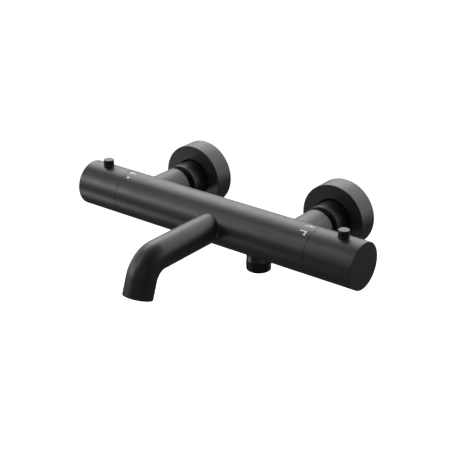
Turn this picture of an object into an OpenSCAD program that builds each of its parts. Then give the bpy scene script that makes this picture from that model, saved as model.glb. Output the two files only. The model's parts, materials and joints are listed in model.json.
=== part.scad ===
// Wall mounted thermostatic bath and shower mixer: a round bar with a knob at each end,
// two inlet arms, a down-turned spout and a hose outlet.
// Origin: midway between the two wall inlets, in the plane of the wall.
// +X runs along the bar, +Y goes into the wall, +Z is up.

/* [Bar] */
// Distance between the hot and the cold inlet
inlet_spacing = 150; // [130:1:180]
// Distance from the wall to the bar's axis
bar_reach = 80; // [75:0.5:100]
// Outside diameter of the bar and the knobs
bar_d = 39.5; // [39:0.5:48]
// Length of the fixed tube between the two knobs
bar_l = 195.4; // [192:0.2:240]
// How far the tube's middle lies to the right of the inlets' middle
bar_shift = 2.4; // [-3:0.1:4]
// Diameter of the bore that takes the cartridges and the water core
bar_bore_d = 32.2; // [32.2:0.1:33.6]
// Chamfer on the edges of the bar and the knobs
edge_chamfer = 0.4; // [0.1:0.1:0.8]

/* [Inlet arms] */
// Outside diameter of the arms on the back of the bar
arm_d = 30.7; // [29:0.1:32]
// Distance from the wall to the arm's end
arm_end = 41; // [40:0.5:46]
// Diameter of the water way through the arm
arm_bore_d = 14; // [10:0.5:16]
// Length of the thread that holds the tail piece
arm_thread_l = 12; // [8:0.5:12]

/* [Unions and rosettes] */
// Height of the bar's axis above the wall inlets
union_offset = 12; // [0:0.5:13]
// Major diameter of the half inch pipe thread
g12_d = 20.96; // [20.96:0.01:20.96]
// Pitch of the half inch pipe thread
g12_pitch = 1.814; // [1.814:0.001:1.814]
// Major diameter of the three quarter inch pipe thread
g34_d = 26.44; // [26.44:0.01:26.44]
// Length of the thread that screws into the wall
wall_thread_l = 17; // [12:0.5:22]
// Bore of the eccentric union
union_bore_d = 14; // [10:0.5:16]
// Wall of the round union nut around its thread
nut_wall = 2.68; // [2.2:0.01:4]
// Distance from the wall to the nut's outer end
nut_face = 35; // [34:0.5:39]
// Length of the union nut
nut_l = 19; // [18:0.5:20]
// Thickness of the nut's inner lip
nut_lip = 4; // [3:0.5:5]
// Outside diameter of the rosette
rosette_d = 59; // [58:0.5:75]
// Thickness of the rosette
rosette_t = 18.5; // [18:0.5:20]
// Wall of the rosette
rosette_wall = 2; // [1.5:0.1:3]
// Gap between the union nut and the rosette's front
rosette_gap = 1.4; // [1:0.1:2]

/* [Knobs] */
// Length of each knob
knob_l = 43.3; // [41:0.1:55]
// Gap between the knob and the tube
knob_gap = 0.3; // [0.3:0.1:1]
// Wall of the knob
knob_wall = 2.5; // [1.5:0.1:2.6]
// Thickness of the knob's end
knob_end = 4; // [3:0.5:5]
// Distance from the seam to the button's axis
button_at = 24.4; // [24:0.1:28]
// Diameter of the button
button_d = 9.1; // [7:0.1:10]
// How far the button stands above the bar
button_h = 6; // [4:0.1:8]
// Travel of the button
button_travel = 2; // [1:0.1:2.5]
// Number of flutes around the button
button_flutes = 20; // [12:1:28]
// Turn of the temperature knob from the 38 degree stop to cold
cold_turn = 170; // [120:5:180]
// Turn of the temperature knob from the 38 degree stop to hot
hot_turn = 90; // [40:5:100]
// Turn of the flow knob from off to either outlet
flow_turn = 90; // [70:5:100]

/* [Spout] */
// Place of the spout to the right of the inlets' middle
spout_x = 5; // [-20:0.5:12]
// Outside diameter of the spout
spout_d = 24.8; // [24:0.1:28]
// Wall of the spout
spout_wall = 2.2; // [1.5:0.1:2.5]
// Straight length from the bar's axis to the bend
spout_l = 81; // [60:0.5:160]
// Centre line radius of the bend
spout_bend_r = 20.3; // [16:0.1:40]
// Angle of the bend
spout_bend = 70.6; // [45:0.1:90]
// Straight length after the bend
spout_tip = 14.9; // [13:0.1:30]
// How far the boss that carries the spout stands out of the bar
spout_boss_h = 1.55; // [1:0.05:6]

/* [Hose outlet] */
// Place of the hose outlet to the right of the inlets' middle
outlet_x = 44.4; // [25:0.1:46]
// Length of the outlet's thread
outlet_thread_l = 8.6; // [6:0.1:12]
// Diameter of the smooth neck above the thread
outlet_neck_d = 20.4; // [20:0.1:23]
// How far the neck stands out of the bar
outlet_neck_h = 3.45; // [2:0.05:6]
// Bore of the hose outlet
outlet_bore_d = 14; // [13.6:0.1:14.4]

/* [Fits] */
// Radial clearance of a turning or sliding fit
run_fit = 0.08; // [0.05:0.01:0.1]
// Radial clearance between fixed parts
fixed_fit = 0.05; // [0.03:0.01:0.08]
// Gap between parts that move past each other without touching
free_gap = 0.4; // [0.3:0.05:0.6]

/* [Hidden] */
$fn = 96;
eps = 0.01;
// How far a cut runs past the face that it opens
past = 1;
bar_z = union_offset;
bar_r = bar_d / 2;
bore_r = bar_bore_d / 2;
inlet_x = inlet_spacing / 2;
left_x = bar_shift - bar_l / 2;
right_x = bar_shift + bar_l / 2;
g12_r = g12_d / 2;
g34_r = g34_d / 2;
thread_depth = 1.16;
nut_r = g34_r + nut_wall;
clear_r = bore_r - fixed_fit;

// Cartridge stations, measured outwards from the seam at the end of the tube
ring_at = -8;
collar_end = -13;
hot_end = -27.5;
cold_start = -32;
nose_at = -42;
nose_tip = -52;
core_left = -44;
waist_in = -34;
head_in = -44;
seal_t = 1.2;
core_right = head_in - seal_t;
waist_r = 12.8;
neck_r = 8.5;
neck_end = 12;
nut_hex_l = 6;
nut_hex_r = 15.6;
stop_at = 6.6;
stop_t = 3;
stop_ring_r = 12.2;
stop_lug_r = 15.4;
stop_lug_angle = 40;
spindle_r = 4;
spindle_end = 20.5;
spline_r = 3.8;
spline_from = neck_end + 0.5;

// Thermostat
cavity_r = 9.5;
cavity_top = -12;
piston_r = cavity_r - run_fit;
piston_bore_r = 6.7;
piston_top = -26.5;
piston_bottom = -34.5;
piston_web = 2;
piston_web_at = -29;
wax_r = 4.2;
wax_top = -24.5;
wax_bottom = -37;
wax_pin_r = 1.5;
cup_r = 8.8;
cup_top = -14.3;
cup_bottom = -21.5;
cup_floor = 1.5;
drive_thread_r = 5;
drive_thread_end = -18;
plug_top = -38.5;
nose_r = 9;
nose_bore_r = 5;
nose_ring_at = -48;
hot_window = [-25, -18];
cold_window = [-37.9, -34.6];
window_w = 5;
piston_hole_r = 0.8;
piston_hole_at = 5.4;
return_spring_r = 5.4;
return_wire_r = 0.45;
oring_r = 0.9;
groove_half = 1.2 * oring_r;
screen_t = 0.4;

// Diverter
disc_r = 9.4;
disc_t = 4;
disc_hole_r = 2.2;
disc_hole_at = 6.2;
film = 0.02;
spout_port_turn = 15;
shower_port_turn = 225;
rotor_turn = -60;
cold_way_r = 2.3;
cold_way_at = 12.8;
mixed_way_r = 2.5;
cross_hole_r = 2.6;
carrier_step = 1;
carrier_bore_r = disc_r - carrier_step;
carrier_end = -20;
carrier_l = 5;
carrier_web = 1;

// Knob inside
knob_r = bar_r - knob_wall;
knob_floor = knob_gap + knob_l - knob_end;
hub_r = 10;
hub_at = 13.2;
hub_base_t = 3;
hub_rim_t = 6;
finger_in_r = stop_ring_r + 2 * free_gap;
hub_bore_end = spindle_end + free_gap;
button_r = button_d / 2;
button_top = bar_r + button_h;
flange_w = 0.9;
flange_r = button_r + flange_w;
flange_top = sqrt(pow(knob_r, 2) - pow(flange_r, 2)) - 2 * fixed_fit;
flange_t = 1;
flute_r = 0.36;
flute_land = 0.6;
stem_r = 1.8;
stem_end = 6.4;
button_seat = 9.4;
button_spring_r = 2.75;
button_wire_r = 0.35;
grub_r = 2;
grub_at = 17.6;
grub_inset = 0.5;
hex_socket_r = 1.1;
hex_socket_depth = 2;

// Inlet line, measured from the wall
thread_out = 1.5;
flange_at = nut_face - nut_lip;
tail_flange_t = 2.5;
washer_t = 2;
union_face = flange_at - tail_flange_t - washer_t;
tail_neck_r = 10;
washer_hole_r = 7.5;
sieve_pitch = 2.1;
sieve_hole_r = 0.7;
gasket_w = 2.5;
gasket_t = 2;
check_r = 8.5;
check_l = 12.8;
check_wall = 1.3;
check_seat_t = 2;
check_web_t = 2;
check_leg_w = 1.2;
poppet_rim = 1.2;
poppet_t = 1.4;
check_coil_r = 2.5;
check_wire_r = 0.25;
nut_end = nut_face - nut_l;
web_at = 12;
web_t = 4;
union_mid_r = 12;
union_mid_from = 1;
union_mid_at = web_at - web_t - free_gap;
union_lap = 5;
union_bore_lap = 3;

// Spout and outlet
spout_r = spout_d / 2;
spout_bore_r = spout_r - spout_wall;
spout_boss_l = bar_r + spout_boss_h;
nipple_r = 9;
nipple_end = spout_boss_l + 12.7;
nipple_ring_in = spout_boss_l + 1.5;
nipple_ring_out = nipple_end - 3;
spout_screw_at = spout_boss_l + 5.7;
spout_screw_inset = 0.4;
nipple_bore_r = 6;
port_pocket = 3;
aerator_l = 10;
aerator_recess = 0.8;
aerator_wall = 1.6;
key_slot_r = 0.8;
key_slot_depth = 1.5;
insert_inset = 0.6;
cell_pitch = 1.85;
cell_r = 0.62;
cell_depth = 4;
outlet_stem_r = 8.5;
outlet_neck_l = bar_r + outlet_neck_h;
outlet_l = outlet_neck_l + outlet_thread_l;
outlet_r = outlet_bore_d / 2;
outlet_check_l = 11.8;

// Printed marks
print_t = 0.08;
print_half = 8;
mark_turn = 23;
temperature_mark_at = left_x + 5;
flow_mark_at = right_x - 7;

coat = "#1d1d1f";
rubber = "#101012";
brass = "#b08d4a";
steel = "#b9bcc0";
plastic = "#e8e6df";
grey_plastic = "#7d8288";
ceramic = "#f3f1ea";
print = "#f2f2f2";

// ---- Frames: each puts its children's +Z along a working axis ----

// Left end of the tube: +Z points out of the left end, +X is up
module left_end() {
    translate([left_x, -bar_reach, bar_z]) rotate([0, -90, 0]) children();
}

// Right end of the tube: +Z points out of the right end, +X is up
module right_end() {
    translate([right_x, -bar_reach, bar_z]) rotate([0, 90, 0]) rotate([0, 0, 180]) children();
}

// Inlet line on one side: +Z is the distance from the wall, +Y is up
module inlet(side) {
    translate([side * inlet_x, 0, bar_z]) rotate([90, 0, 0]) children();
}

// Front of the bar at the spout: +Z is the distance from the bar's axis, +Y is up
module front(x) {
    translate([x, -bar_reach, bar_z]) rotate([90, 0, 0]) children();
}

// Underside of the bar: +Z is the distance below the bar's axis
module under(x) {
    translate([x, -bar_reach, bar_z]) rotate([180, 0, 0]) children();
}

// ---- Plain shapes ----

// Rod from height a to height b
module rod(r, a, b) {
    translate([0, 0, min(a, b)]) cylinder(r = r, h = abs(b - a));
}

// Tube from height a to height b
module pipe(r_out, r_in, a, b) {
    difference() {
        rod(r_out, a, b);
        rod(r_in, min(a, b) - past, max(a, b) + past);
    }
}

// Rod whose chosen ends carry a chamfer
module chamfered_rod(r, a, b, c_low, c_high) {
    low = c_low > 0 ? [[r - c_low, a], [r, a + c_low]] : [[r, a]];
    high = c_high > 0 ? [[r, b - c_high], [r - c_high, b]] : [[r, b]];
    rotate_extrude() polygon(concat([[0, a]], low, high, [[0, b]]));
}

// Ring of round section
module o_ring(r_mid, at) {
    translate([0, 0, at]) rotate_extrude() translate([r_mid, 0]) circle(r = oring_r, $fn = 32);
}

// Groove that an O-ring lies in, cut from a rod of radius r
module o_groove(r, at) {
    pipe(r + past, r - 2 * (oring_r + fixed_fit), at - groove_half, at + groove_half);
}

// Male pipe thread as rings from height a to height b, both ends plain
module threaded_rod(r, a, b) {
    turns = floor((b - a) / g12_pitch - 0.5);
    start = a + (b - a - turns * g12_pitch) / 2;
    crest = g12_pitch * 0.2;
    root = g12_pitch * 0.7;
    grooves = [for (i = [0 : turns - 1]) each [
        [r, start + i * g12_pitch + crest],
        [r - thread_depth, start + i * g12_pitch + root - crest],
        [r - thread_depth, start + i * g12_pitch + root],
        [r, start + (i + 1) * g12_pitch]
    ]];
    rotate_extrude()
        polygon(concat([[0, a], [r - thread_depth, a], [r, a + thread_depth / 2]], grooves,
            [[r, b - thread_depth / 2], [r - thread_depth, b], [0, b]]));
}

// Wedge of a tube between two radii, centred on the angle mid
module tube_sector(r_in, r_out, a, b, mid, width) {
    translate([0, 0, a])
        rotate_extrude(angle = width, start = mid - width / 2)
            translate([r_in, 0]) square([r_out - r_in, b - a]);
}

// Helical spring along +Z, swept from a six sided wire section
module spring(r, wire, a, b, turns) {
    sides = 6;
    per_turn = 14;
    steps = turns * per_turn;
    rise = (b - a - 2 * wire) / steps;
    function spot(i, k) =
        let (turn = 360 * i / per_turn, s = 360 * k / sides)
        [(r + wire * cos(s)) * cos(turn), (r + wire * cos(s)) * sin(turn),
            a + wire + rise * i + wire * sin(s)];
    points = [for (i = [0 : steps], k = [0 : sides - 1]) spot(i, k)];
    first = [for (k = [0 : sides - 1]) k];
    last = [for (k = [sides - 1 : -1 : 0]) steps * sides + k];
    skin = [for (i = [0 : steps - 1], k = [0 : sides - 1])
        let (m = (k + 1) % sides)
        [i * sides + k, (i + 1) * sides + k, (i + 1) * sides + m, i * sides + m]];
    polyhedron(points = points, faces = concat([first, last], skin), convexity = 8);
}

// ---- Body ----

// Solid outline of the spout along its path; the bend is a hair thinner than its two
// straight ends, so that they meet at a true edge
module spout_solid(r, from, past_end) {
    rod(r, from, spout_l);
    translate([0, -spout_bend_r, spout_l]) rotate([0, 90, 0])
        rotate_extrude(angle = spout_bend, start = 90)
            translate([spout_bend_r, 0]) circle(r = r - eps);
    spout_end_frame() rod(r, 0, spout_tip + past_end);
}

// Start of the straight tip after the bend: +Z runs out of the spout
module spout_end_frame() {
    translate([0, spout_bend_r * (cos(spout_bend) - 1), spout_l + spout_bend_r * sin(spout_bend)])
        rotate([spout_bend, 0, 0]) children();
}

module mixer_body() color(coat) {
    difference() {
        union() {
            left_end() chamfered_rod(bar_r, -bar_l, 0, edge_chamfer, edge_chamfer);
            for (side = [-1, 1]) inlet(side)
                chamfered_rod(arm_d / 2, arm_end, bar_reach, edge_chamfer, 0);
            front(spout_x) rod(spout_r, 0, spout_boss_l);
            under(outlet_x) rod(outlet_neck_d / 2, 0, outlet_neck_l);
        }
        left_end() rod(bore_r, -bar_l - past, past);
        for (side = [-1, 1]) inlet(side) {
            rod(arm_bore_d / 2, arm_end, bar_reach - bar_r / 2);
            rod(g12_r + fixed_fit, arm_end - eps, arm_end + arm_thread_l);
        }
        front(spout_x) rod(nipple_r + fixed_fit, bar_r / 2, spout_boss_l + past);
        under(outlet_x) rod(outlet_stem_r + fixed_fit, bar_r / 2, outlet_neck_l + past);
    }
}

// Moulded core that carries mixed water to the diverter and back to the two outlets
module water_core() color(plastic) {
    spout_at = spout_x - right_x;
    outlet_at = outlet_x - right_x;
    right_end() difference() {
        rod(clear_r, left_core_face(), core_right);
        port_way(mixed_way_r, 0, 0, left_core_face() - past);
        rod(nose_r + run_fit, left_core_face() - past, left_core_face() + nose_at - nose_tip);
        port_way(cold_way_r, cold_way_at, -90, left_core_face() - past);
        port_way(disc_hole_r, disc_hole_at, spout_port_turn, spout_at);
        port_way(disc_hole_r, disc_hole_at, shower_port_turn, outlet_at);
        translate([disc_hole_at * cos(spout_port_turn), 0, spout_at])
            rotate([-90, 0, 0]) rod(cross_hole_r, disc_hole_at * sin(spout_port_turn) - disc_hole_r, bore_r);
        translate([0, disc_hole_at * sin(shower_port_turn), outlet_at])
            rotate([0, -90, 0]) rod(cross_hole_r, -disc_hole_at * cos(shower_port_turn) - past, bore_r);
        translate([0, 0, spout_at]) rotate([-90, 0, 0])
            rod(nipple_r, bore_r - port_pocket, bore_r + past);
        translate([0, 0, outlet_at]) rotate([0, -90, 0])
            rod(outlet_r, bore_r - port_pocket, bore_r + past);
    }
}

// Left face of the core, measured from the right seam
function left_core_face() = -bar_l - core_left;

// Water way along the bar at a given turn from the top towards the front
module port_way(r, at, turn, from) {
    rotate([0, 0, turn]) translate([at, 0, 0]) rod(r, from, core_right + past);
}

// ---- Inlet lines ----

module tail_piece(side) color(rubber) inlet(side) difference() {
    union() {
        rod(g12_r, arm_end, arm_end + arm_thread_l - free_gap);
        rod(tail_neck_r, flange_at - tail_flange_t, arm_end + eps);
        rod(g34_r - thread_depth - fixed_fit, flange_at - tail_flange_t, flange_at);
    }
    rod(check_r + fixed_fit, flange_at - tail_flange_t - past, flange_at + check_l);
    rod(check_r - check_seat_t, flange_at, arm_end + arm_thread_l + past);
}
module hot_tail_piece() tail_piece(-1);
module cold_tail_piece() tail_piece(1);

module union_nut(side) color(coat) inlet(side) difference() {
    chamfered_rod(nut_r, nut_end, nut_face, edge_chamfer, edge_chamfer);
    rod(g34_r + fixed_fit, nut_end - past, flange_at);
    rod(tail_neck_r + run_fit, flange_at - past, nut_face + past);
}
module hot_union_nut() union_nut(-1);
module cold_union_nut() union_nut(1);

// Flat rubber washers, each with a sieve across its opening
module inlet_filter_washers() color(rubber) for (side = [-1, 1]) inlet(side) {
    washer_r = g34_r - thread_depth - 2 * fixed_fit;
    sieve_at = union_face + washer_t / 2;
    pipe(washer_r, washer_hole_r, union_face, union_face + washer_t);
    difference() {
        rod(washer_hole_r + eps, sieve_at, sieve_at + screen_t);
        for (ring = [1 : 3], hole = [0 : 6 * ring - 1]) rotate([0, 0, hole * 60 / ring])
            translate([ring * sieve_pitch, 0, union_face]) rod(sieve_hole_r, -past, washer_t + past);
    }
}

// Eccentric union between the wall thread and the mixer's nut
module s_union(side) color(brass) difference() {
    union() {
        inlet(side) rod(g34_r - fixed_fit, union_mid_at - union_lap, union_face);
        translate([side * inlet_x, 0, 0]) rotate([90, 0, 0]) {
            rod(union_mid_r, union_mid_from, union_mid_at);
            rotate([180, 0, 0]) threaded_rod(g12_r, -thread_out, wall_thread_l);
        }
    }
    inlet(side) rod(union_bore_d / 2, union_mid_at - union_bore_lap, union_face + past);
    translate([side * inlet_x, 0, 0]) rotate([90, 0, 0])
        rod(union_bore_d / 2, -wall_thread_l - past, union_mid_at - union_bore_lap / 2);
}
module hot_s_union() s_union(-1);
module cold_s_union() s_union(1);

// Hollow cover disc that screws onto the union and hides the hole in the wall
module rosette(side) color(coat) inlet(side) rotate_extrude() {
    r = rosette_d / 2;
    hole_r = nut_r + rosette_gap;
    thread_r = g34_r + fixed_fit;
    polygon([
        [r - rosette_wall, 0], [r, 0], [r, rosette_t - edge_chamfer],
        [r - edge_chamfer, rosette_t], [hole_r, rosette_t],
        [hole_r, web_at], [thread_r, web_at],
        [thread_r, web_at - web_t], [hole_r + rosette_wall, web_at - web_t],
        [hole_r + rosette_wall, rosette_t - rosette_wall],
        [r - rosette_wall, rosette_t - rosette_wall]
    ]);
}
module hot_rosette() rosette(-1);
module cold_rosette() rosette(1);

// Foam rings that seal the rosettes to the wall
module rosette_gaskets() color(rubber) for (side = [-1, 1]) inlet(side)
    pipe(rosette_d / 2 - rosette_wall - fixed_fit, rosette_d / 2 - rosette_wall - gasket_w, 0, gasket_t);

// ---- Check valves: closed at height 0, the poppet opens towards +Z ----

module check_frame(side) {
    inlet(side) translate([0, 0, flange_at]) children();
}

// Guide web with three legs around the poppet's stem
module check_shell(r, l) {
    inner = r - check_wall;
    pipe(r, inner, 0, l);
    pipe(inner + eps, r / 2, 0, check_seat_t);
    pipe(stem_r + check_leg_w, stem_r + run_fit, l - check_web_t, l);
    difference() {
        for (leg = [0 : 2]) rotate([0, 0, leg * 120])
            translate([0, -check_leg_w / 2, l - check_web_t])
                cube([inner + check_wall / 2, check_leg_w, check_web_t]);
        rod(stem_r + check_leg_w / 2, l - check_web_t - past, l + past);
    }
}

module check_plug(r, l) {
    rod(r / 2 + poppet_rim, check_seat_t, check_seat_t + poppet_t);
    rod(stem_r, check_seat_t + poppet_t / 2, l - free_gap);
}

module hot_check_housing() color(plastic) check_frame(-1) check_shell(check_r, check_l);
module cold_check_housing() color(plastic) check_frame(1) check_shell(check_r, check_l);
module hot_check_poppet() color(grey_plastic) check_frame(-1) check_plug(check_r, check_l);
module cold_check_poppet() color(grey_plastic) check_frame(1) check_plug(check_r, check_l);
module hot_check_spring() color(steel) check_frame(-1) check_coil(check_l);
module cold_check_spring() color(steel) check_frame(1) check_coil(check_l);
module check_coil(l) {
    spring(check_coil_r, check_wire_r, check_seat_t + poppet_t + fixed_fit,
        l - check_web_t - fixed_fit, 4);
}

// ---- Thermostatic cartridge ----

// Four windows through the housing's wall over a span of heights
module windows(heights) {
    for (i = [0 : 3]) rotate([0, 0, i * 90]) translate([0, -window_w / 2, heights[0]])
        cube([waist_r + past, window_w, heights[1] - heights[0]]);
}

module thermo_housing() color(plastic) left_end() difference() {
    union() {
        rod(clear_r, collar_end, ring_at);
        rod(waist_r, nose_at, collar_end + eps);
        rod(clear_r, cold_start, hot_end);
        rod(neck_r, ring_at - eps, neck_end);
    }
    rod(cavity_r, nose_at - past, cavity_top);
    rod(spindle_r + run_fit, cavity_top - past, neck_end + past);
    windows(hot_window);
    windows(cold_window);
    o_groove(clear_r, (collar_end + ring_at) / 2);
    o_groove(clear_r, (cold_start + hot_end) / 2);
}

module thermo_o_rings() color(rubber) left_end() {
    o_ring(clear_r - oring_r - fixed_fit, (collar_end + ring_at) / 2);
    o_ring(clear_r - oring_r - fixed_fit, (cold_start + hot_end) / 2);
    o_ring(nose_r - oring_r - fixed_fit, nose_ring_at);
}

// Fine sieves around the hot and the cold windows
module thermo_filter_screens() color(steel) left_end() {
    pipe(waist_r + fixed_fit + screen_t, waist_r + fixed_fit, hot_end + free_gap, collar_end - free_gap);
    pipe(waist_r + fixed_fit + screen_t, waist_r + fixed_fit, nose_at + free_gap, cold_start - free_gap);
}

module thermo_spindle() color(brass) left_end() {
    rod(drive_thread_r - run_fit, drive_thread_end, cavity_top - fixed_fit);
    rod(spindle_r, cavity_top - past, spline_from);
    rod(spline_r, neck_end, spindle_end);
}

// Keyed nut that the spindle screws up and down
module thermo_drive_cup() color(brass) left_end() difference() {
    rod(cup_r, cup_bottom, cup_top);
    rod(drive_thread_r, cup_bottom + cup_floor, cup_top + past);
}

module thermo_wax_element() color("#c07a4a") left_end() {
    rod(wax_r, wax_bottom, wax_top);
    rod(wax_pin_r, wax_top - past, cup_bottom);
}

// Regulating sleeve: its edges open and close the hot and the cold windows
module thermo_piston() color(steel) left_end() difference() {
    rod(piston_r, piston_bottom, piston_top);
    rod(piston_bore_r, piston_bottom - past, piston_web_at);
    rod(piston_bore_r, piston_web_at + piston_web, piston_top + past);
    rod(wax_r + fixed_fit, piston_bottom - past, piston_top + past);
    for (i = [0 : 5]) rotate([0, 0, i * 60]) translate([piston_hole_at, 0, 0])
        rod(piston_hole_r, piston_bottom - past, piston_top + past);
}

module thermo_return_spring() color(steel) left_end()
    spring(return_spring_r, return_wire_r, plug_top + 2 * fixed_fit,
        piston_web_at - 2 * fixed_fit, 4);

// Screwed-in outlet nose that plugs into the water core
module thermo_nose() color(plastic) left_end() difference() {
    union() {
        rod(cavity_r - fixed_fit, nose_at - eps, plug_top);
        rod(nose_r, nose_tip, nose_at);
    }
    rod(nose_bore_r, nose_tip - past, plug_top + past);
    o_groove(nose_r, nose_ring_at);
}

module retaining_nut() difference() {
    union() {
        rod(clear_r, ring_at + fixed_fit, 0);
        cylinder(r = nut_hex_r, h = nut_hex_l, $fn = 6);
    }
    rod(neck_r + fixed_fit, ring_at - past, nut_hex_l + past);
}
module thermo_retaining_nut() color(brass) left_end() retaining_nut();

// Ring with a lug that ends the knob's turn
module stop_ring(lug_mid) {
    pipe(stop_ring_r, neck_r + fixed_fit, stop_at, stop_at + stop_t);
    tube_sector(stop_ring_r - eps, stop_lug_r, stop_at, stop_at + stop_t, lug_mid, stop_lug_angle);
}
module temperature_stop_ring() color(grey_plastic) left_end()
    stop_ring(180 + (hot_turn - cold_turn) / 2);

// ---- Knobs, with +X up and +Z outwards ----

module knob() difference() {
    chamfered_rod(bar_r, knob_gap, knob_gap + knob_l, edge_chamfer, edge_chamfer);
    rod(knob_r, knob_gap - past, knob_floor);
    translate([0, 0, button_at]) rotate([0, 90, 0]) rod(button_r + run_fit, 0, bar_r + past);
    translate([0, 0, grub_at]) rotate([0, -90, 0]) rod(grub_r + free_gap, 0, bar_r + past);
}

// Moulded hub: it grips the spindle, fills the knob's end and carries the stop finger
module knob_hub(finger_width) {
    difference() {
        union() {
            rod(hub_r, hub_at, knob_floor - fixed_fit);
            rod(knob_r - fixed_fit, knob_floor - hub_rim_t, knob_floor - fixed_fit);
            rod(stop_lug_r, hub_at, hub_at + hub_base_t);
        }
        rod(spline_r + fixed_fit, hub_at - past, hub_bore_end);
        translate([0, 0, button_at]) rotate([0, 90, 0]) {
            rod(stem_r + run_fit, stem_end - button_travel - free_gap, bar_r);
            rod(flange_r + free_gap, button_seat, bar_r);
        }
        translate([0, 0, grub_at]) rotate([0, -90, 0]) rod(grub_r + fixed_fit, 0, bar_r);
    }
    tube_sector(finger_in_r, stop_lug_r, stop_at + free_gap, hub_at + eps, 0, finger_width);
}

module grub_screw() translate([0, 0, grub_at]) rotate([0, -90, 0]) difference() {
    rod(grub_r, spline_r + fixed_fit, hub_r - grub_inset);
    hex_socket(hub_r - grub_inset);
}

// Hexagon socket cut into a screw from its outer end
module hex_socket(end) {
    translate([0, 0, end - hex_socket_depth])
        cylinder(r = hex_socket_r, h = hex_socket_depth + past, $fn = 6);
}

// Fluted push button with its retaining flange and guide stem
module button() translate([0, 0, button_at]) rotate([0, 90, 0]) {
    difference() {
        chamfered_rod(button_r, flange_top - flange_t / 2, button_top, 0, edge_chamfer);
        for (i = [0 : button_flutes - 1]) rotate([0, 0, i * 360 / button_flutes])
            translate([button_r + flute_r / 3, 0, 0])
                rod(flute_r, bar_r + flute_land, button_top - flute_land);
    }
    rod(flange_r, flange_top - flange_t, flange_top);
    rod(stem_r, stem_end, flange_top - flange_t + eps);
}

module button_spring() translate([0, 0, button_at]) rotate([0, 90, 0])
    spring(button_spring_r, button_wire_r, button_seat + fixed_fit,
        flange_top - flange_t - fixed_fit, 4);

// The finger and the lug fill what the knob's turn leaves of the circle
function finger_angle(total) = 360 - total - stop_lug_angle - 2;

module temperature_knob() color(coat) left_end() knob();
module temperature_knob_hub() color(grey_plastic) left_end() knob_hub(finger_angle(cold_turn + hot_turn));
module temperature_grub_screw() color(steel) left_end() grub_screw();
module temperature_button() color(coat) left_end() button();
module temperature_button_spring() color(steel) left_end() button_spring();

// ---- Diverter cartridge ----

module flow_housing() color(plastic) right_end() difference() {
    union() {
        rod(clear_r, collar_end, ring_at);
        rod(waist_r, waist_in - eps, collar_end + eps);
        rod(clear_r, head_in, waist_in);
        rod(neck_r, ring_at - eps, neck_end);
    }
    rod(disc_r + fixed_fit, head_in - past, waist_in);
    rod(carrier_bore_r, waist_in - past, carrier_end);
    rod(spindle_r + run_fit, carrier_end - past, neck_end + past);
    rotate([0, 0, -90]) translate([cold_way_at, 0, 0]) rod(cold_way_r, head_in - past, waist_in + past);
    o_groove(clear_r, (collar_end + ring_at) / 2);
}

module flow_o_rings() color(rubber) right_end()
    o_ring(clear_r - oring_r - fixed_fit, (collar_end + ring_at) / 2);

// Ports of the diverter, seen along the bar
module port_holes(a, b) {
    rod(mixed_way_r, a, b);
    for (turn = [spout_port_turn, shower_port_turn]) rotate([0, 0, turn])
        translate([disc_hole_at, 0, 0]) rod(disc_hole_r, a, b);
}

module flow_base_seal() color(rubber) right_end() difference() {
    rod(clear_r - fixed_fit, core_right, head_in);
    port_holes(core_right - past, head_in + past);
    rotate([0, 0, -90]) translate([cold_way_at, 0, 0])
        rod(cold_way_r, core_right - past, head_in + past);
}

module flow_fixed_disc() color(ceramic) right_end() difference() {
    rod(disc_r, head_in, head_in + disc_t);
    port_holes(head_in - past, head_in + disc_t + past);
}

module flow_rotor_disc() color(ceramic) right_end() difference() {
    low = head_in + disc_t + film;
    rod(disc_r - free_gap, low, low + disc_t);
    rotate([0, 0, rotor_turn]) translate([0, -disc_hole_r, low - past])
        cube([disc_hole_at + disc_hole_r, 2 * disc_hole_r, past + disc_t / 2]);
}

// Carrier that keys the turning disc to the spindle
module flow_disc_carrier() color(grey_plastic) right_end() difference() {
    low = head_in + 2 * disc_t + film;
    union() {
        rod(disc_r - free_gap, low, waist_in - free_gap);
        rod(carrier_bore_r - free_gap, waist_in - free_gap - eps, waist_in + carrier_l);
    }
    rod(spindle_r + fixed_fit, waist_in + carrier_web, waist_in + carrier_l + past);
}

module flow_spindle() color(brass) right_end() {
    rod(spindle_r, waist_in + carrier_web, spline_from);
    rod(spline_r, neck_end, spindle_end);
}

module flow_retaining_nut() color(brass) right_end() retaining_nut();
module flow_stop_ring() color(grey_plastic) right_end() stop_ring(180);
module flow_knob() color(coat) right_end() knob();
module flow_knob_hub() color(grey_plastic) right_end() knob_hub(finger_angle(2 * flow_turn));
module flow_grub_screw() color(steel) right_end() grub_screw();
module flow_button() color(coat) right_end() button();
module flow_button_spring() color(steel) right_end() button_spring();

// ---- Spout ----

module spout_tube() color(coat) front(spout_x) difference() {
    spout_solid(spout_r, spout_boss_l, 0);
    spout_solid(spout_bore_r, nipple_end, past);
    rod(nipple_r + fixed_fit, spout_boss_l - past, nipple_end + eps);
    translate([0, 0, spout_screw_at]) rotate([90, 0, 0]) rod(grub_r + fixed_fit, 0, spout_r + past);
}

// Threaded nipple that pulls the spout against the body
module spout_nipple() color(brass) front(spout_x) difference() {
    rod(nipple_r, bore_r + free_gap, nipple_end - free_gap);
    rod(nipple_bore_r, 0, nipple_end + past);
    o_groove(nipple_r, nipple_ring_in);
    o_groove(nipple_r, nipple_ring_out);
}

module spout_o_rings() color(rubber) front(spout_x) {
    o_ring(nipple_r - oring_r - fixed_fit, nipple_ring_in);
    o_ring(nipple_r - oring_r - fixed_fit, nipple_ring_out);
}

module spout_set_screw() color(steel) front(spout_x)
    translate([0, 0, spout_screw_at]) rotate([90, 0, 0]) difference() {
        rod(grub_r, nipple_r + fixed_fit, spout_r - spout_screw_inset);
        hex_socket(spout_r - spout_screw_inset);
    }

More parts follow.
